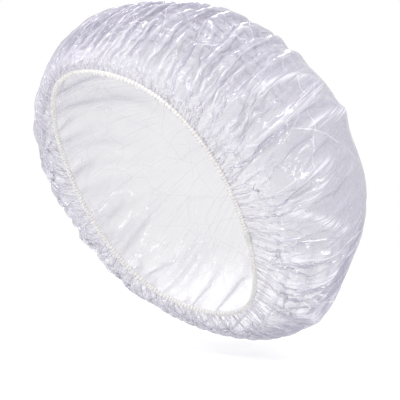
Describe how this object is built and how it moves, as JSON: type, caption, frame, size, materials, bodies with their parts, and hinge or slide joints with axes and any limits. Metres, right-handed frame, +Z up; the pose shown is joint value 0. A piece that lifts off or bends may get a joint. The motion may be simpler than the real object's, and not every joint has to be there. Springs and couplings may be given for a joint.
{
  "type": "shower cap",
  "caption": "Clear plastic shower cap in its worn shape: a puffed film crown, pleated into a slanted stitched hem with an elastic strand that grips the head.",
  "frame": {"origin": "middle of the opening, half way between its forehead and nape ends", "axes": "worn upright: +Z up, the face towards -Y, the wearer's left at +X"},
  "size_m": [0.2736, 0.2559, 0.2733],
  "materials": {
    "film": "clear, glossy and crinkled",
    "hem": "clear film in several layers, so milky",
    "elastic": "matt white covered elastic",
    "thread": "white thread"
  },
  "bodies": {
    "hem": {"hem_casing": "hem", "elastic_band": "elastic", "elastic_join": "thread", "hem_stitching": "thread"},
    "crown": {"crown_film": "film"}
  },
  "joints": [
    {"name": "crown_collapse", "type": "slide", "parent": "hem", "child": "crown", "axis": [0, -0.8039, -0.5948], "range_m": [0, 0.118], "deforming": ["crown_film"]}
  ]
}
